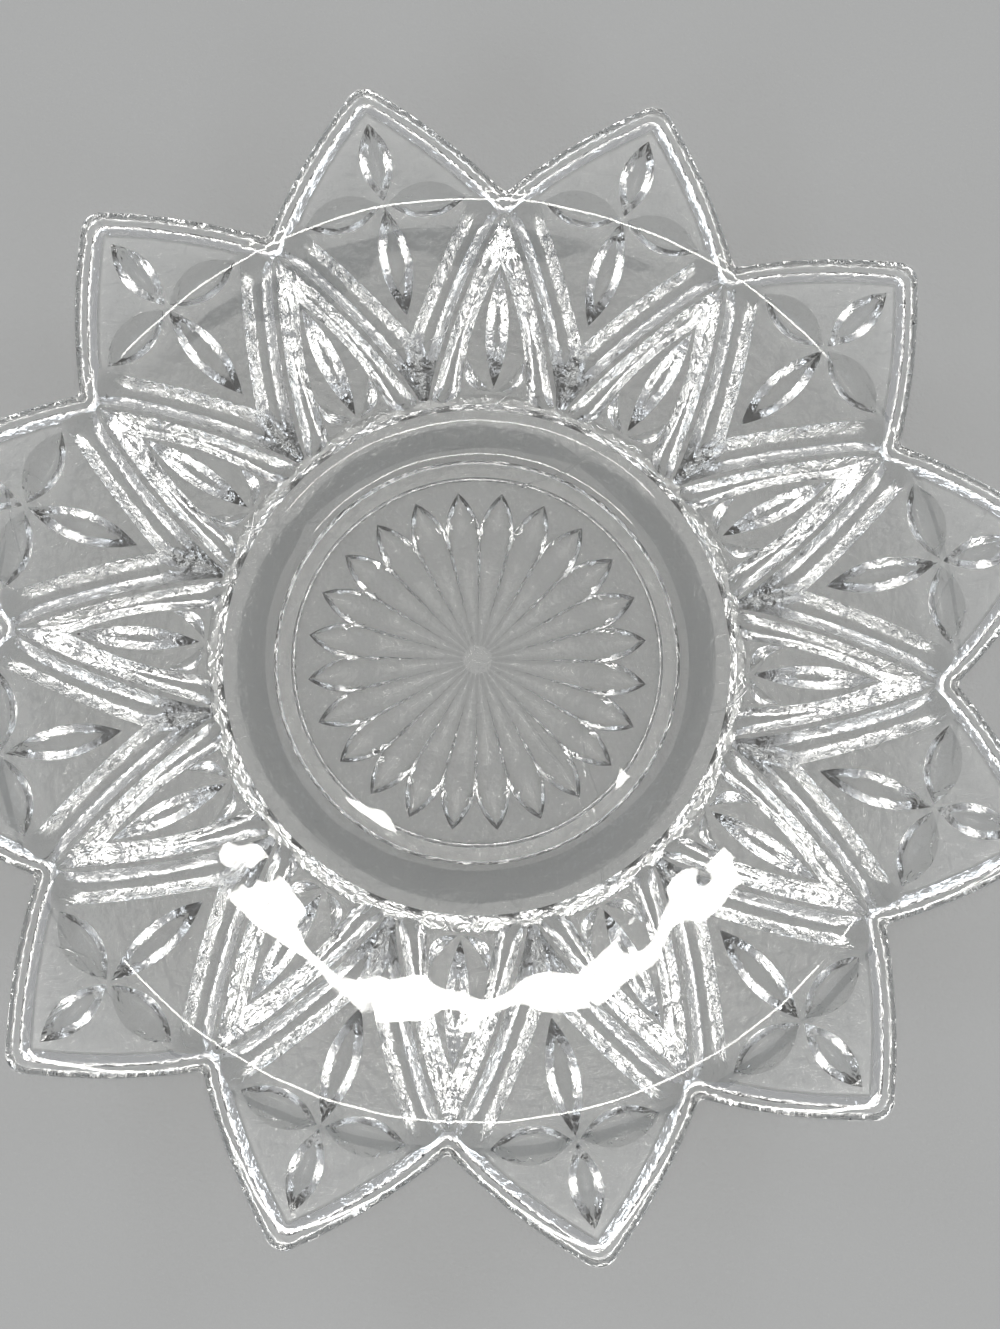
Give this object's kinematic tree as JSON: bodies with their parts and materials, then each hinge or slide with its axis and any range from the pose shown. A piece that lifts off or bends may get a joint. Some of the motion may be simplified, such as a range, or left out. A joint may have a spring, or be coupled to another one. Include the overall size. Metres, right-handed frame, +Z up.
{
  "type": "pressed glass star plate",
  "caption": "Shallow star-shaped serving plate of clear pressed glass, with a flat round well, a pointed upturned rim and a moulded pattern of flowers, arches and rays on its underside.",
  "frame": {"origin": "middle of the foot ring's resting face, which is the lowest part of the plate", "axes": "+Z up, out of the dish; +X through the tip of a point, and points lie every 30 degrees from there"},
  "size_m": [0.279, 0.279, 0.0211],
  "materials": {
    "clear_glass": "fire-polished clear soda-lime glass, glossy, with fine table scratches and a stippled ground round the rosette"
  },
  "bodies": {
    "root": {"star_plate": "clear_glass"}
  },
  "joints": []
}
